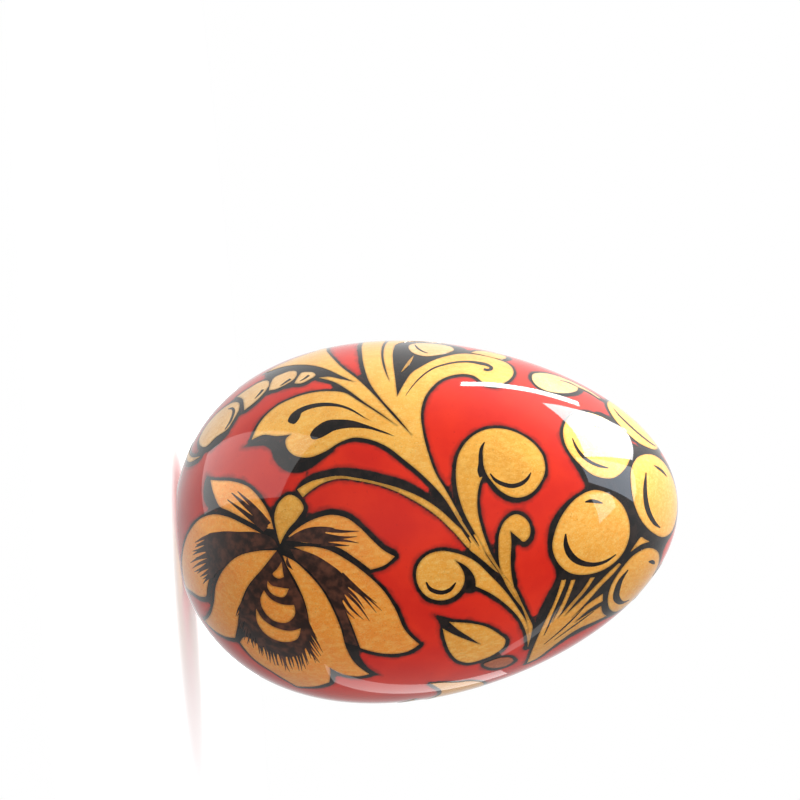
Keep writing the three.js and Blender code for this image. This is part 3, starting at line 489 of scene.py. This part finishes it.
# the side of a motif where its outline is widest, and how heavy the outline is, where not as usual
INK_LEAN = {
    "leaf_spray": (-0.55, -0.84, 0.85),
    "branch_curl": (-0.55, -0.84, 0.95),
    "branch_heart": (-0.55, -0.84, 0.8),
    "flower_stem": (-0.5, 0.86, 0.45),
    "petal_upper_right": (0.2, 0.98, 1),
}
USUAL_LEAN = (0.5, -0.86, 1)
# each group of strokes is one piece: outlines, brush lines, hairs, and the part it stands for
INK_PIECES = {
    "flower_ink": (FLOWER_INK, FLOWER_LINES, FLOWER_HAIRS, ["flower_shadow"]),
    "spray_ink": (SPRAY_INK, SPRAY_LINES, {}, []),
    "branch_ink": ({}, BRANCH_LINES, {}, []),
    "berry_ink": ({}, BERRY_LINES, {}, ["berry_shadow"]),
}
# deep, middle and light tones of each gold, and the motifs that have it where not the plain one
GOLD_KINDS = {
    "gold_plain": (((232, 154, 50), (252, 188, 80), (255, 224, 138)), ()),
    # the flower's warm gold: partly the paint's own orange, partly a painted warm reflection
    "gold_warm_and_painted_reflection": (
        ((242, 134, 44), (255, 176, 76), (255, 210, 122)),
        (
            "petal_upper_left", "petal_left", "petal_lower_left", "petal_bottom", "petal_right",
            "petal_upper_right", "pistil_bud", "pistil_top", "pistil_upper", "pistil_lower",
        ),
    ),
    # painted sheen: a paler copy of the gold for the motifs near the upper edge, standing for the white
    # reflected there
    "gold_painted_sheen": (
        ((222, 162, 84), (248, 198, 128), (255, 230, 180)),
        ("feather_low", "feather_middle", "feather_high", "feather_tip", "berry_comma", "berry_top"),
    ),
    "gold_green": (
        ((210, 142, 42), (246, 180, 68), (255, 214, 122)),
        ("calyx", "flower_stem", "branch_curl", "branch_heart", "curl_small", "berry_stalks"),
    ),
    "gold_leaflet": (((150, 72, 28), (190, 98, 46), (220, 136, 78)), ("leaflet",)),
}
UPPER_GOLD = ("pistil_bud", "pistil_top", "pistil_upper", "pistil_lower", "spray_accent")
LOWER_GOLD = ("branch_heart",)
NOT_IN_CAD = (
    "branch_heart", "pistil_bud", "pistil_top", "scroll_lobe", "spray_accent", "wedge_leaf", "leaflet",
    "feather_tip", "feather_stem",
)


# ---- the egg's surface ----------------------------------------------------------------------
def surface(directions):
    """Points, in millimetres from the egg's middle, and normals where rays from the middle leave it."""
    along = directions[:, 2]
    across = np.hypot(directions[:, 0], directions[:, 1])
    square, quarter = EGG_LENGTH**2, EGG_WIDTH**2 / 4
    reach = np.full(len(directions), EGG_WIDTH / 2)
    for _ in range(SOLVE_STEPS):
        x = reach * along
        r = reach * across
        under = square + 8 * EGG_SHIFT * x + 4 * EGG_SHIFT**2
        value = r * r * under - quarter * (square - 4 * x * x)
        slope = 2 * r * across * under + 8 * EGG_SHIFT * along * r * r + 8 * quarter * x * along
        reach = reach - value / slope
    points = directions * reach[:, None]
    x = points[:, 2]
    r = np.hypot(points[:, 0], points[:, 1])
    under = square + 8 * EGG_SHIFT * x + 4 * EGG_SHIFT**2
    lift = 8 * EGG_SHIFT * r * r + 8 * quarter * x
    normals = np.stack([2 * points[:, 0] * under, 2 * points[:, 1] * under, lift], axis=1)
    normals /= np.linalg.norm(normals, axis=1)[:, None]
    return points, normals


def chart_directions(chart):
    """The directions of chart points, on the front."""
    reach = np.hypot(chart[:, 0], chart[:, 1])
    angle = reach / CHART_RADIUS
    share = np.sin(angle) / np.maximum(reach, 1e-9)
    return np.stack([-share * chart[:, 1], -np.cos(angle), share * chart[:, 0]], axis=1)


def chart_of(points):
    """The chart positions of points on the front, in millimetres from the middle."""
    unit = points / np.linalg.norm(points, axis=1)[:, None]
    angle = np.arccos(np.clip(-unit[:, 1], -1, 1))
    share = CHART_RADIUS * angle / np.maximum(np.sin(angle), 1e-6)
    return np.stack([share * unit[:, 2], -share * unit[:, 0]], axis=1)


def turned(points, side):
    """Points of the front, or the same points turned half round the long axis for the back."""
    return points * np.array([HALF_TURN[side], HALF_TURN[side], 1])


# ---- curves on the chart --------------------------------------------------------------------
def bend(before, here, after):
    """The direction of a smooth curve at a point between two others, per millimetre."""
    first = np.linalg.norm(here - before) + 1e-9
    second = np.linalg.norm(after - here) + 1e-9
    return ((here - before) / first * second + (after - here) / second * first) / (first + second)


def curve(rows, closed, width=2):
    """A dense curve through table rows: a closed outline with corners, or an open brush line."""
    points = [np.array(row[:width], float) for row in rows]
    corner = [closed and len(row) > 2 for row in rows]
    count = len(points)
    dense = []
    for i in range(count if closed else count - 1):
        start, end = points[i], points[(i + 1) % count]
        before = points[i - 1] if closed or i > 0 else start
        after = points[(i + 2) % count] if closed or i + 2 < count else end
        length = np.linalg.norm(end - start)
        leave = None if corner[i] else bend(before, start, end) * length
        arrive = None if corner[(i + 1) % count] else bend(start, end, after) * length
        if leave is None and arrive is None:
            leave = arrive = end - start
        elif leave is None:
            leave = 1.5 * (end - start) - 0.5 * arrive
        elif arrive is None:
            arrive = 1.5 * (end - start) - 0.5 * leave
        steps = max(2, math.ceil(length / OUTLINE_STEP))
        for s in np.arange(steps) / steps:
            dense.append(
                (2 * s**3 - 3 * s**2 + 1) * start
                + (s**3 - 2 * s**2 + s) * leave
                + (3 * s**2 - 2 * s**3) * end
                + (s**3 - s**2) * arrive
            )
    if not closed:
        dense.append(points[-1])
    return np.array(dense)


def left_of(steps):
    """Unit vectors square to some directions, to their left."""
    steps = steps / (np.linalg.norm(steps, axis=1)[:, None] + 1e-9)
    return np.stack([-steps[:, 1], steps[:, 0]], axis=1)


def left_of_outline(outline):
    return left_of(np.roll(outline, -1, axis=0) - np.roll(outline, 1, axis=0))


def brush_line(rows, weight=1):
    """The outline of a brush line, from its spine and widths."""
    spine = curve(rows, closed=False, width=3)
    side = left_of(np.gradient(spine[:, :2], axis=0)) * spine[:, 2:3] / 2 * weight
    return np.concatenate([spine[:, :2] + side, (spine[:, :2] - side)[::-1]])


def hairs(roots, tips, count, width):
    """Outlines of tapering hairs from one line to another, of uneven lengths."""
    spread = random.Random(count)
    start = curve(roots, closed=False)
    end = curve(tips, closed=False)
    outlines = []
    for i in range(count):
        share = min(max((i + 0.5 + spread.uniform(-0.35, 0.35)) / count, 0), 1)
        root = start[round(share * (len(start) - 1))]
        tip = end[round(share * (len(end) - 1))]
        tip = root + (tip - root) * spread.uniform(0.62, 1.02)
        sway = np.array([tip[1] - root[1], root[0] - tip[0]]) * spread.uniform(-0.06, 0.06)
        middle = (root + tip) / 2 + sway
        outlines.append(brush_line([(*root, width), (*middle, width * 0.62), (*tip, 0.04)]))
    return outlines


def painted_outlines(table, lines, weight=1):
    """Dense outlines of a table of filled shapes and a table of brush lines."""
    shapes = [curve(rows, closed=True) for rows in table.values()]
    return shapes + [brush_line(rows, weight) for rows in lines.values()]


def distance_into(points, outline):
    """How far each chart point is from a closed outline, negative inside it."""
    nearest = np.full(len(points), np.inf)
    inside = np.zeros(len(points), bool)
    for a, d in zip(outline, np.roll(outline, -1, axis=0) - outline):
        to = points - a
        share = np.clip((to @ d) / max(d @ d, 1e-12), 0, 1)
        gap = to - share[:, None] * d
        nearest = np.minimum(nearest, (gap * gap).sum(axis=1))
        if abs(d[1]) > 1e-12:
            crosses = (to[:, 1] < 0) != (to[:, 1] < d[1])
            inside ^= crosses & (to[:, 0] < to[:, 1] / d[1] * d[0])
    nearest = np.sqrt(nearest)
    return np.where(inside, -nearest, nearest)


# ---- thin films -----------------------------------------------------------------------------
def inset(outline):
    """Points a brush's edge inside an outline."""
    side = left_of_outline(outline) * RIM_WIDTH
    both = np.concatenate([outline + side, outline - side])[::3]
    return both[distance_into(both, outline) < -0.9 * RIM_WIDTH]


def inner_grid(outline):
    """Evenly spaced points well inside an outline."""
    low, high = outline.min(axis=0), outline.max(axis=0)
    across, up = (np.arange(low[i], high[i], FILM_GRID) for i in (0, 1))
    grid = np.stack(np.meshgrid(across, up), axis=-1).reshape(-1, 2)
    return grid[distance_into(grid, outline) < -1.6 * RIM_WIDTH]


def film_mesh(outlines, heights, side):
    """Vertices, normals, distances from the rim and faces of a closed film over chart outlines."""
    vertices, normals, rims, faces = [], [], [], []
    for outline in outlines:
        chart = [Vector(p) for p in np.concatenate([outline, inset(outline), inner_grid(outline)])]
        found = delaunay_2d_cdt(chart, [], [list(range(len(outline)))], 1, 1e-5)
        flat = np.array([tuple(p) for p in found[0]])
        triangles = [list(t) for t in found[2]]
        base, normal = surface(chart_directions(flat))
        offset = sum(len(block) for block in vertices)
        count = len(flat)
        for height, sign in zip(heights, (1, -1)):
            vertices.append(turned(base + normal * height, side))
            normals.append(turned(normal, side) * sign)
            rims.append(np.abs(distance_into(flat, outline)))
        directed = set()
        a, b, c = base[triangles[0]]
        facing = np.dot(np.cross(b - a, c - a), normal[triangles[0][0]])
        for triangle in triangles:
            if facing < 0:
                triangle = triangle[::-1]
            faces.append([offset + v for v in triangle])
            faces.append([offset + count + v for v in triangle[::-1]])
            directed.update(zip(triangle, triangle[1:] + triangle[:1]))
        for a, b in directed:
            if (b, a) not in directed:
                faces.append([offset + b, offset + a, offset + count + a, offset + count + b])
    return np.concatenate(vertices), np.concatenate(normals), np.concatenate(rims), faces


def add_object(name, data):
    """A new object, in the scene."""
    made = bpy.data.objects.new(name, data)
    bpy.context.collection.objects.link(made)
    return made


def add_piece(name, vertices, normals, paint, faces, material, slot):
    """A smooth piece from millimetres round the egg's middle, with the egg's own normals. paint is
    each vertex's distance from the edge that its material fades towards."""
    mesh = bpy.data.meshes.new(name)
    placed = (vertices + np.array([0, 0, MIDDLE_Z])) * MM
    mesh.from_pydata(placed.tolist(), [], faces)
    mesh.polygons.foreach_set("use_smooth", [True] * len(mesh.polygons))
    if normals is not None:
        mesh.normals_split_custom_set_from_vertices(normals.tolist())
    mesh.attributes.new("paint", "FLOAT", "POINT").data.foreach_set("value", paint)
    mesh.materials.append(material)
    piece = add_object(name, mesh)
    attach(piece, "root")
    return piece


# ---- materials ------------------------------------------------------------------------------
def colour(levels, share=1):
    """A linear colour from everyday 0 to 255 levels, each one times share."""
    parts = np.multiply(levels, share) / 255
    return (*np.where(parts < 0.04045, parts / 12.92, ((parts + 0.055) / 1.055) ** 2.4).tolist(), 1)


class Nodes:
    """A small hand for wiring the nodes of a material or of the world."""

    def __init__(self, owner, shader="Principled BSDF", place="Object"):
        owner.use_nodes = True
        self.owner = owner
        self.tree = owner.node_tree
        self.shader = self.tree.nodes[shader]
        self.place = self.add("ShaderNodeTexCoord").outputs[place]

    def feed(self, node, inputs):
        """Gives a node's inputs their fixed values, or links them to other nodes' outputs."""
        for socket, value in inputs.items():
            if isinstance(value, bpy.types.NodeSocket):
                self.tree.links.new(value, node.inputs[socket])
            else:
                node.inputs[socket].default_value = value

    def add(self, kind, inputs=None, **settings):
        node = self.tree.nodes.new(kind)
        for key, value in settings.items():
            setattr(node, key, value)
        self.feed(node, inputs or {})
        return node

    def along(self, axis):
        return self.add("ShaderNodeSeparateXYZ", {0: self.place}).outputs[axis]

    def paint(self):
        """Each vertex's distance from the edge of its paint, in millimetres."""
        return self.add("ShaderNodeAttribute", attribute_name="paint").outputs["Fac"]

    def noise(self, size, detail=2, stretch=(1, 1, 1)):
        """Noise with features about size millimetres across, wider by stretch along each axis."""
        mapping = self.add("ShaderNodeMapping", {"Vector": self.place, "Scale": [1 / s for s in stretch]})
        inputs = {"Vector": mapping.outputs["Vector"], "Scale": 1 / (size * MM), "Detail": detail}
        return self.add("ShaderNodeTexNoise", inputs).outputs["Fac"]

    def ramp(self, value, low, high, to_low=0, to_high=1):
        """A value moved smoothly from one range to another."""
        inputs = {"Value": value, "From Min": low, "From Max": high, "To Min": to_low, "To Max": to_high}
        return self.add("ShaderNodeMapRange", inputs, interpolation_type="SMOOTHSTEP").outputs["Result"]

    def math(self, kind, first, second):
        return self.add("ShaderNodeMath", {0: first, 1: second}, operation=kind).outputs["Value"]

    def wobbled(self, value, size, detail, width):
        """A value that noise sways within a band of some width."""
        sway = self.math("SUBTRACT", self.noise(size, detail), 0.5)
        return self.math("ADD", value, self.math("MULTIPLY", sway, width))

    def mix(self, share, first, second):
        """A mix of two colours; a mix node's inputs 6 and 7 are its colours."""
        return self.add("ShaderNodeMix", {"Factor": share, 6: first, 7: second}, data_type="RGBA").outputs[2]

    def bump(self, height, depth, strength, socket="Normal"):
        inputs = {"Height": height, "Distance": depth * MM, "Strength": strength}
        node = self.add("ShaderNodeBump", inputs)
        self.feed(self.shader, {socket: node.outputs["Normal"]})

    def lacquer(self):
        """The thick clear gloss over everything, with the faint waves of a brushed coat."""
        self.feed(self.shader, {"Coat Weight": 1, "Coat Roughness": 0.02, "Coat IOR": 1.52})
        self.bump(self.noise(5, 1), 0.02, 0.6, "Coat Normal")

    def finish(self, base, roughness, metallic=0, specular=0.3):
        look = {"Roughness": roughness, "Metallic": metallic, "Specular IOR Level": specular}
        self.feed(self.shader, {"Base Color": base, **look})
        return self.owner


def material_nodes(name):
    return Nodes(bpy.data.materials.new(name))


def ink_colour(nodes, thick, thin):
    """Brushed black, in clouds of thick and of thin, browner paint."""
    return nodes.mix(nodes.ramp(nodes.noise(1.1, 3), 0.35, 0.75), colour(thick), colour(thin))


def ground_material():
    """Red ground with the black outlines painted on it."""
    nodes = material_nodes("red_and_black_lacquer")
    distance = nodes.paint()
    solid = nodes.ramp(nodes.wobbled(distance, 0.5, 3, 0.18), -0.12, 0.14, 1, 0)
    haze = nodes.ramp(nodes.wobbled(distance, 1.6, 4, 1.1), -0.1, 0.6, 0.5, 0)
    red = nodes.mix(nodes.ramp(nodes.noise(6, 4), 0.3, 0.7), colour((202, 27, 6)), colour((216, 40, 9)))
    fleck = nodes.ramp(nodes.noise(0.35, 3), 0.62, 0.8, 0, 0.35)
    red = nodes.mix(fleck, red, colour((160, 12, 10)))
    red = nodes.mix(haze, red, colour((80, 14, 10)))
    base = nodes.mix(solid, red, ink_colour(nodes, *BLACK))
    nodes.bump(nodes.noise(0.4, 2), 0.01, 0.3)
    nodes.lacquer()
    return nodes.finish(base, 0.5, specular=0.1)


def ink_material(name, thick, thin):
    """Black brushwork over the gold."""
    nodes = material_nodes(name)
    nodes.bump(nodes.noise(0.3, 2), 0.01, 0.3)
    nodes.lacquer()
    return nodes.finish(ink_colour(nodes, thick, thin), 0.45, specular=0.1)


def gold_material(name, deep, middle, light):
    """Metal powder in paint: fine bright grains over a slow change of tone, redder lower down (partly the
    paint's own warmer tone, partly a painted warm reflection) and stained along the rim where the black
    brush has crossed it."""
    nodes = material_nodes(name)
    # partly painted warm reflection: the gold is redder towards +X, low in the camera's view; the rest is
    # the paint's own warmer tone
    lower = nodes.ramp(nodes.along("X"), -0.02, 0.018)
    base = nodes.mix(lower, colour(middle), colour(middle, (0.97, 0.86, 0.6)))
    tone = nodes.ramp(nodes.noise(3.5, 3), 0.3, 0.7, 0, 0.55)
    base = nodes.mix(tone, base, colour(deep))
    brushed = nodes.ramp(nodes.noise(0.45, 3, stretch=(1, 1, 2.5)), 0.42, 0.7, 0, 0.45)
    base = nodes.mix(brushed, base, colour(np.add(middle, light), 0.5))
    grain = nodes.noise(0.14, 2)
    base = nodes.mix(nodes.ramp(grain, 0.5, 0.75, 0, 0.6), base, colour(light))
    dark = nodes.ramp(nodes.noise(0.2, 2), 0.58, 0.8, 0, 0.45)
    base = nodes.mix(dark, base, colour(deep, 0.6))
    stain = nodes.ramp(nodes.wobbled(nodes.paint(), 0.4, 3, 0.3), -0.03, 0.3, 0.5, 0)
    base = nodes.mix(stain, base, colour(deep, 0.42))
    nodes.bump(grain, 0.02, 0.5)
    nodes.lacquer()
    return nodes.finish(base, 0.46, metallic=0.3, specular=0.25)


def wood_material():
    """Pale turned lime wood: rings round the axis, fine pores and the cut of the lathe."""
    nodes = material_nodes("turned_wood")
    inputs = {"Vector": nodes.place, "Scale": 260, "Distortion": 2.5, "Detail": 3}
    rings = nodes.add("ShaderNodeTexWave", inputs, wave_type="RINGS", rings_direction="Z").outputs["Fac"]
    base = nodes.mix(rings, colour((226, 196, 150)), colour((200, 162, 112)))
    pores = nodes.ramp(nodes.noise(0.25, 3, stretch=(1, 4, 1)), 0.6, 0.75, 0, 0.5)
    base = nodes.mix(pores, base, colour((160, 120, 78)))
    nodes.bump(rings, 0.03, 0.5)
    return nodes.finish(base, 0.62)


# ---- pieces ---------------------------------------------------------------------------------
def ink_width(name, outline):
    """The width of the black along a motif's outline, widest on the side that the outline leans to."""
    after = np.roll(outline, -1, axis=0)
    area = (outline[:, 0] * after[:, 1] - outline[:, 1] * after[:, 0]).sum()
    outward = -left_of_outline(outline) * np.sign(area)
    *lean, weight = INK_LEAN.get(name, USUAL_LEAN)
    sway = np.array([noise.noise(Vector((p[0] * 0.8, p[1] * 0.8, 0))) for p in outline])
    return weight * (INK_LINE + INK_SHADE * np.clip(outward @ np.array(lean), 0, 1) + INK_SWAY * sway)


def ink_distance(points, outlines):
    """How far each surface point is from black paint, in millimetres, negative inside it."""
    ringed = {name: outline for name, outline in outlines.items() if name not in UPPER_GOLD}
    front = surface(chart_directions(np.concatenate(list(ringed.values()))))[0]
    width = np.concatenate([ink_width(name, outline) for name, outline in ringed.items()])
    tree = kdtree.KDTree(2 * len(front))
    for i, side in enumerate(HALF_TURN):
        for j, point in enumerate(turned(front, side)):
            tree.insert(point, i * len(front) + j)
    tree.balance()
    result = np.empty(len(points))
    for i, point in enumerate(points):
        _, found, gap = tree.find(point)
        result[i] = gap - width[found % len(front)]
    for side in HALF_TURN:
        chart = chart_of(turned(points, side))
        for outline in painted_outlines(GROUND_INK, GROUND_LINES):
            low, high = outline.min(axis=0) - INK_REACH, outline.max(axis=0) + INK_REACH
            near = np.all((chart > low) & (chart < high), axis=1)
            result[near] = np.minimum(result[near], distance_into(chart[near], outline))
    return result


def without_slivers(distance, rings):
    """Paints over red gaps one vertex wide, which the mesh is too coarse to hold."""
    grid = distance[: rings * GROUND_SEGMENTS].reshape(rings, GROUND_SEGMENTS)
    black = grid < SLIVER_EDGE
    beside = np.roll(black, 1, axis=1) & np.roll(black, -1, axis=1)
    padded = np.concatenate([black[:1], black, black[-1:]])
    grid = np.where(beside | (padded[:-2] & padded[2:]), np.minimum(grid, SLIVER_FILL), grid)
    return np.concatenate([grid.ravel(), distance[rings * GROUND_SEGMENTS :]])


def ground_profile():
    """Points of the ground coat's profile: the outer face down to the flat foot, then the inner face."""
    turns = np.linspace(0, math.pi, GROUND_RINGS)
    x = np.cos(turns)
    points, normals = surface(np.stack([np.sin(turns), 0 * x, x], axis=1))
    foot = -MIDDLE_Z
    outer = points[points[:, 2] > foot + FOOT_MARGIN][:, [0, 2]]
    rim_radius = np.interp(foot, points[::-1, 2], points[::-1, 0])
    inner = (points + normals * GROUND_INNER)[::INNER_STEP]
    inner = inner[inner[:, 2] > foot][:, [0, 2]]
    inner = inner[(inner[:, 0] > FOOT_OPENING) | (inner[:, 1] > 0)]
    edge = [[rim_radius, foot], [rim_radius - FOOT_EDGE, foot], [FOOT_OPENING, foot]]
    return np.concatenate([outer, edge, inner[::-1]])


def make_ground(outlines):
    """The red ground coat as one closed shell, which also carries the black outlines."""
    profile = ground_profile()
    rows = profile[1:-1]
    turns = np.arange(GROUND_SEGMENTS) * 2 * math.pi / GROUND_SEGMENTS
    ring = np.stack([np.cos(turns), np.sin(turns)], axis=1)
    points = np.concatenate([np.column_stack([ring * r, np.full(len(ring), z)]) for r, z in rows])
    tips = np.array([[0, 0, profile[0][1]], [0, 0, profile[-1][1]]])
    vertices = np.concatenate([points, tips])
    faces = []
    last = len(rows) - 1
    for i in range(GROUND_SEGMENTS):
        j = (i + 1) % GROUND_SEGMENTS
        for row in range(last):
            a, b = row * GROUND_SEGMENTS, (row + 1) * GROUND_SEGMENTS
            faces.append([a + i, b + i, b + j, a + j])
        faces.append([len(points), i, j])
        faces.append([len(points) + 1, last * GROUND_SEGMENTS + j, last * GROUND_SEGMENTS + i])
    ink = without_slivers(ink_distance(vertices, outlines), len(rows))
    piece = add_piece("red_lacquer_ground", vertices, None, ink, faces, ground_material(), "red_lacquer")
    mark_foot_edges(piece.data)
    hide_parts("red_ground")


def mark_foot_edges(mesh):
    """Keeps the rim of the flat foot crisp while the rest is smooth."""
    for edge in mesh.edges:
        ends = [mesh.vertices[v].co for v in edge.vertices]
        radius = min(co.xy.length for co in ends) / MM
        level = max(abs(co.z) for co in ends) / MM
        if level < 0.01 and abs(ends[0].xy.length - ends[1].xy.length) < 1e-6:
            edge.use_edge_sharp = radius > FOOT_OPENING + 0.5 or radius < FOOT_OPENING + 0.01


def make_gold(outlines):
    """Every gold motif, on the front and on the back."""
    materials = {kind: gold_material(kind, *colours) for kind, (colours, _) in GOLD_KINDS.items()}
    for name, outline in outlines.items():
        kind = next((kind for kind, (_, names) in GOLD_KINDS.items() if name in names), "gold_plain")
        heights = UPPER_GOLD_FILM if name in UPPER_GOLD else GOLD_FILM
        heights = LOWER_GOLD_FILM if name in LOWER_GOLD else heights
        for side in HALF_TURN:
            film = film_mesh([outline], heights, side)
            piece = add_piece(f"{side}_gold_{name}", *film, materials[kind], "gold_paint")
            if name not in NOT_IN_CAD:
                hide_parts(f"{side}_{name}")


def make_ink():
    """The black brushwork over the gold, on the front and on the back."""
    black = ink_material("black_lacquer", *BLACK)
    brown = ink_material("brown_black_lacquer", *BROWN_BLACK)
    for name, (shapes, lines, fringes, nodes) in INK_PIECES.items():
        outlines = painted_outlines(shapes, lines, MARK_WEIGHT)
        for fringe in fringes.values():
            outlines += hairs(*fringe)
        for side in HALF_TURN:
            film = film_mesh(outlines, INK_FILM, side)
            piece = add_piece(f"{side}_{name}", *film, brown if fringes else black, "black_paint")
            if nodes:
                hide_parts(*(f"{side}_{node}" for node in nodes))


def show_core():
    """The CAD's own wooden core, seen inside the ring of the foot."""
    material = wood_material()
    for slot in bpy.data.objects["wood_core"].material_slots:
        slot.link = "OBJECT"
        slot.material = material


# ---- camera, floor and light ----------------------------------------------------------------
def make_camera():
    """The camera, level with the egg's middle, with the egg's long axis nearly across the picture."""
    roll = math.radians(CAMERA_ROLL)
    right = Vector((math.sin(roll), 0, math.cos(roll)))
    up = Vector((-math.cos(roll), 0, math.sin(roll)))
    level = Matrix((right, up, Vector((0, -1, 0)))).transposed()
    to_middle = Vector((CAMERA_AIM[0], -CAMERA_AIM[1], -CAMERA_DISTANCE))
    turn = to_middle.rotation_difference(Vector((0, 0, -1))).to_matrix()
    data = bpy.data.cameras.new("camera")
    data.sensor_width = CAMERA_SENSOR
    data.lens = CAMERA_LENS
    camera = add_object("camera", data)
    place = MIDDLE + Vector((0, -CAMERA_DISTANCE * MM, 0))
    camera.matrix_world = Matrix.Translation(place) @ (level @ turn).to_4x4()
    bpy.context.scene.camera = camera


def level_reach(points, away):
    """How far to follow four rays so that their ends are the corners of a parallelogram, with
    LIGHT_DISTANCE as the mean."""
    sides = np.array([1, -1, 1, -1])
    rays = (away * sides[:, None]).T
    one = np.linalg.lstsq(rays, -(points * sides[:, None]).sum(axis=0), rcond=None)[0]
    free = np.linalg.svd(rays)[2][3]
    return one + free * (LIGHT_DISTANCE - one.mean()) / free.mean()


def add_light(name, corners, radiance, tint=(1, 1, 1)):
    """A rectangular light whose reflection in the lacquer covers four chart corners, left to right
    along the top and then right to left along the bottom."""
    points, normals = surface(chart_directions(np.array(corners, float)))
    rays = points - np.array([0, -CAMERA_DISTANCE, 0])
    rays /= np.linalg.norm(rays, axis=1)[:, None]
    away = rays - 2 * (rays * normals).sum(axis=1)[:, None] * normals
    far = [Vector(p) for p in points + away * level_reach(points, away)[:, None]]
    centre = (far[0] + far[2]) / 2
    across = far[1] - far[0]
    down = far[3] - far[0]
    even = (across.normalized() + down.normalized()).normalized()
    skew = (across.normalized() - down.normalized()).normalized()
    side = (even + skew).normalized()
    outward = even.cross(skew)
    if outward.dot(centre) < 0:
        outward = -outward
    data = bpy.data.lights.new(name, "AREA")
    data.shape = "RECTANGLE"
    data.size = across.length * MM
    data.size_y = down.length * MM
    data.energy = radiance * math.pi * data.size * data.size_y
    data.color = tint
    light = add_object(name, data)
    turn = Matrix((side, outward.cross(side), outward)).transposed()
    light.matrix_world = Matrix.Translation(MIDDLE + centre * MM) @ turn.to_4x4()
    return light


def make_floor():
    """A pale round floor that glows a little, so that it ends in the white of the world."""
    mesh = bpy.data.meshes.new("floor")
    turns = np.arange(FLOOR_SIDES) * 2 * math.pi / FLOOR_SIDES
    rim = np.stack([np.cos(turns), np.sin(turns), 0 * turns], axis=1) * FLOOR_RADIUS * MM
    mesh.from_pydata(rim.tolist(), [], [list(range(FLOOR_SIDES))])
    nodes = material_nodes("pale_floor")
    nodes.feed(nodes.shader, {"Emission Color": (1, 1, 1, 1), "Emission Strength": FLOOR_GLOW})
    base = nodes.mix(nodes.noise(40, 3), colour((250, 250, 250)), colour((255, 255, 255)))
    mesh.materials.append(nodes.finish(base, 0.9))
    floor = add_object("floor", mesh)
    floor.visible_glossy = False
    floor.visible_diffuse = False


def make_world():
    """White seen directly; for light and reflections, brighter behind the egg and darker below it."""
    world = bpy.data.worlds.new("studio")
    bpy.context.scene.world = world
    nodes = Nodes(world, "Background", "Generated")
    behind = nodes.ramp(nodes.along("Y"), -0.6, 0.5, WORLD_FRONT, WORLD_BACK)
    below = nodes.ramp(nodes.along("X"), 0, 0.6, 1, WORLD_LOW)
    direct = nodes.add("ShaderNodeLightPath").outputs["Is Camera Ray"]
    inputs = {"Factor": direct, 2: nodes.math("MULTIPLY", behind, below), 3: 1}
    strength = nodes.add("ShaderNodeMix", inputs).outputs[0]
    nodes.feed(nodes.shader, {"Strength": strength, "Color": (1, 1, 1, 1)})


def make_lights():
    """Lights seen in the lacquer, and two that only light the paint."""
    add_light("window", [(18.6, 13.6), (27.4, 10), (26.3, 5.5), (20, 6)], 12)
    add_light("window_low", [(19.9, 5.6), (26.2, 5), (25.4, 0.8), (20.2, 2.6)], 4, (0.75, 0.85, 1))
    add_light("window_foot", [(19.8, 1.8), (22.7, 1.3), (23.3, -0.5), (21.2, -1.8)], 4, (0.9, 0.95, 1))
    add_light("streak", [(6.4, 18.9), (22.4, 14.6), (22.2, 13.7), (6.2, 18.1)], 18)
    add_light("panel", [(-25, 10.5), (-13, 9.5), (-15.5, 3), (-24.5, 3)], 1.5)
    add_light("below", [(-14, -17.5), (11.5, -24.5), (10.5, -27.5), (-14, -21)], 1.4)
    add_light("glint", [(9, -20), (17, -13), (17.6, -14), (9.8, -21)], 1)
    key = add_light("key", [(9, 17), (19, 14), (19, 6), (9, 9)], 6)
    key.visible_glossy = False
    fill = add_light("fill", [(-12, 3), (10, 3), (12, -12), (-12, -12)], 1.4)
    fill.visible_glossy = False


bpy.context.scene.view_settings.view_transform = "Standard"
make_camera()
make_floor()
make_world()
make_lights()
motifs = {name: curve(rows, closed=True) for name, rows in GOLD.items()}
make_ground(motifs)
make_gold(motifs)
make_ink()
show_core()
